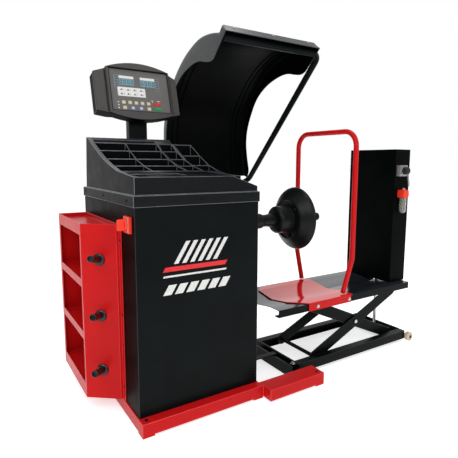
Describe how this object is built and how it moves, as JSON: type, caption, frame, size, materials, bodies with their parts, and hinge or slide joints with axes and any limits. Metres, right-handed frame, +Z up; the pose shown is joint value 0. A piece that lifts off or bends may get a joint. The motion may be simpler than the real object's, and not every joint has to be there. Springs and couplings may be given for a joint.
{
  "type": "truck wheel balancer",
  "caption": "Floor-standing truck wheel balancer: cabinet with weight tray and display, side box, tilting wheel guard, horizontal spindle and a scissor wheel lift with a sliding carriage.",
  "frame": {"origin": "centre of the bounding box of the machine's footprint, on the floor", "axes": "+X along the spindle from the cabinet towards the lift, +Y from the operator's side towards the back, +Z up"},
  "size_m": [1.7904, 1.015, 1.623],
  "materials": {
    "black_paint": "semi-gloss black powder coat",
    "deck_paint": "worn black paint with a blue-grey cast",
    "red_paint": "glossy red powder coat",
    "tray_plastic": "moulded black plastic, satin",
    "guard_plastic": "moulded black plastic, satin",
    "head_plastic": "moulded dark grey plastic",
    "keypad_film": "printed membrane",
    "red_key": "satin",
    "green_key": "satin",
    "switch_plastic": "glossy moulded plastic",
    "dark_steel": "turned and blackened",
    "bright_steel": "turned",
    "cast_iron": "painted casting",
    "black_rubber": "matt",
    "nylon": "off-white, satin",
    "valve_metal": "machined",
    "knob_plastic": "satin",
    "clear_plastic": "clear bowl",
    "circuit_board": "green laminate"
  },
  "bodies": {
    "machine": {"base_frame": "red_paint", "cabinet_front_shell": "black_paint", "cabinet_rear_shell": "black_paint", "weight_tray": "tray_plastic", "accessory_box": "red_paint", "peg_top": "black_rubber", "peg_middle": "black_rubber", "peg_bottom": "black_rubber", "switch_plate": "switch_plastic", "display_stem": "black_paint", "display_back": "head_plastic", "display_front": "head_plastic", "keypad_panel": "keypad_film", "display_board": "circuit_board", "drive_motor": "cast_iron", "spindle_housing": "cast_iron", "bearing_front": "bright_steel", "bearing_rear": "bright_steel", "inner_shelf": "black_paint", "force_sensor": "bright_steel", "power_board": "circuit_board", "drive_belt": "black_rubber", "hood_bracket": "black_paint", "tie_bar": "black_paint", "front_rail": "black_paint", "rear_rail": "black_paint", "cross_member_left": "black_paint", "cross_member_right": "black_paint", "lift_rod": "bright_steel"},
    "main_switch": {"switch_knob": "switch_plastic"},
    "start_button": {"start_key": "green_key"},
    "stop_button": {"stop_key": "red_key"},
    "spindle": {"spindle_shaft": "dark_steel", "spindle_pulley": "cast_iron", "encoder_disc": "bright_steel", "hub_collar": "dark_steel", "mounting_bell": "dark_steel"},
    "motor_rotor": {"motor_pulley": "cast_iron"},
    "guard": {"hood_tube": "black_paint", "hood_shell": "guard_plastic"},
    "front_roller": {"roller_front": "nylon"},
    "rear_roller": {"roller_rear": "nylon"},
    "arms_a": {"arm_a_front": "black_paint", "arm_a_rear": "black_paint", "arm_a_axle": "black_paint", "centre_bolt_front": "bright_steel", "centre_bolt_rear": "bright_steel"},
    "arms_b": {"arm_b_front": "black_paint", "arm_b_rear": "black_paint", "arm_b_axle": "black_paint"},
    "deck": {"deck_plate": "deck_paint", "column_shell": "black_paint", "lift_cylinder": "valve_metal", "valve_block": "valve_metal", "filter_head": "switch_plastic", "filter_bowl": "clear_plastic"},
    "pressure_knob": {"valve_knob": "knob_plastic"},
    "air_lever": {"valve_lever": "bright_steel"},
    "carriage": {"carriage_plate": "red_paint", "carriage_handle": "red_paint"}
  },
  "joints": [
    {"name": "main_switch_turn", "type": "hinge", "parent": "machine", "child": "main_switch", "pos_m": [-0.78077, -0.3535, 0.795], "axis": [-1, 0, 0], "range_deg": [0, 90]},
    {"name": "start_press", "type": "slide", "parent": "machine", "child": "start_button", "axis": [0, 0.9627, -0.2706], "range_m": [0, 0.001], "stiffness_N_per_m": 400},
    {"name": "stop_press", "type": "slide", "parent": "machine", "child": "stop_button", "axis": [0, 0.9627, -0.2706], "range_m": [0, 0.001], "stiffness_N_per_m": 400},
    {"name": "spindle_spin", "type": "hinge", "parent": "machine", "child": "spindle", "pos_m": [-0.06377, -0.2105, 0.744], "axis": [1, 0, 0], "continuous": true},
    {"name": "motor_spin", "type": "hinge", "parent": "machine", "child": "motor_rotor", "pos_m": [-0.40377, -0.2105, 0.44], "axis": [1, 0, 0], "continuous": true},
    {"name": "guard_swing", "type": "hinge", "parent": "machine", "child": "guard", "pos_m": [-0.33877, 0.4825, 0.89], "axis": [1, 0, 0], "range_deg": [0, 30]},
    {"name": "front_roller_spin", "type": "hinge", "parent": "machine", "child": "front_roller", "pos_m": [0.87023, -0.3925, 0.025], "axis": [0, 1, 0], "continuous": true},
    {"name": "rear_roller_spin", "type": "hinge", "parent": "machine", "child": "rear_roller", "pos_m": [0.87023, -0.0185, 0.025], "axis": [0, 1, 0], "continuous": true},
    {"name": "lift_raise", "type": "hinge", "parent": "machine", "child": "arms_a", "pos_m": [0.18423, -0.2055, 0.048], "axis": [0, -1, 0], "range_deg": [-12, 14]},
    {"name": "arms_cross", "type": "hinge", "parent": "arms_a", "child": "arms_b", "pos_m": [0.47428, -0.2055, 0.17714], "axis": [0, -1, 0], "range_deg": [-28, 24]},
    {"name": "deck_level", "type": "hinge", "parent": "arms_b", "child": "deck", "pos_m": [0.18423, -0.2055, 0.30628], "axis": [0, -1, 0], "range_deg": [-12, 14]},
    {"name": "pressure_turn", "type": "hinge", "parent": "deck", "child": "pressure_knob", "pos_m": [0.77723, -0.3905, 0.982], "axis": [0, -1, 0], "range_deg": [-120, 120]},
    {"name": "air_lever_swing", "type": "hinge", "parent": "deck", "child": "air_lever", "pos_m": [0.81823, -0.3675, 0.957], "axis": [0, -1, 0], "range_deg": [0, 60]},
    {"name": "carriage_slide", "type": "slide", "parent": "deck", "child": "carriage", "axis": [1, 0, 0], "range_m": [-0.09, 0.33]}
  ],
  "couplings": [
    {"joint": "motor_spin", "follows": "spindle_spin", "ratio": 2.5},
    {"joint": "arms_cross", "follows": "lift_raise", "ratio": -2},
    {"joint": "deck_level", "follows": "lift_raise", "ratio": 1}
  ]
}
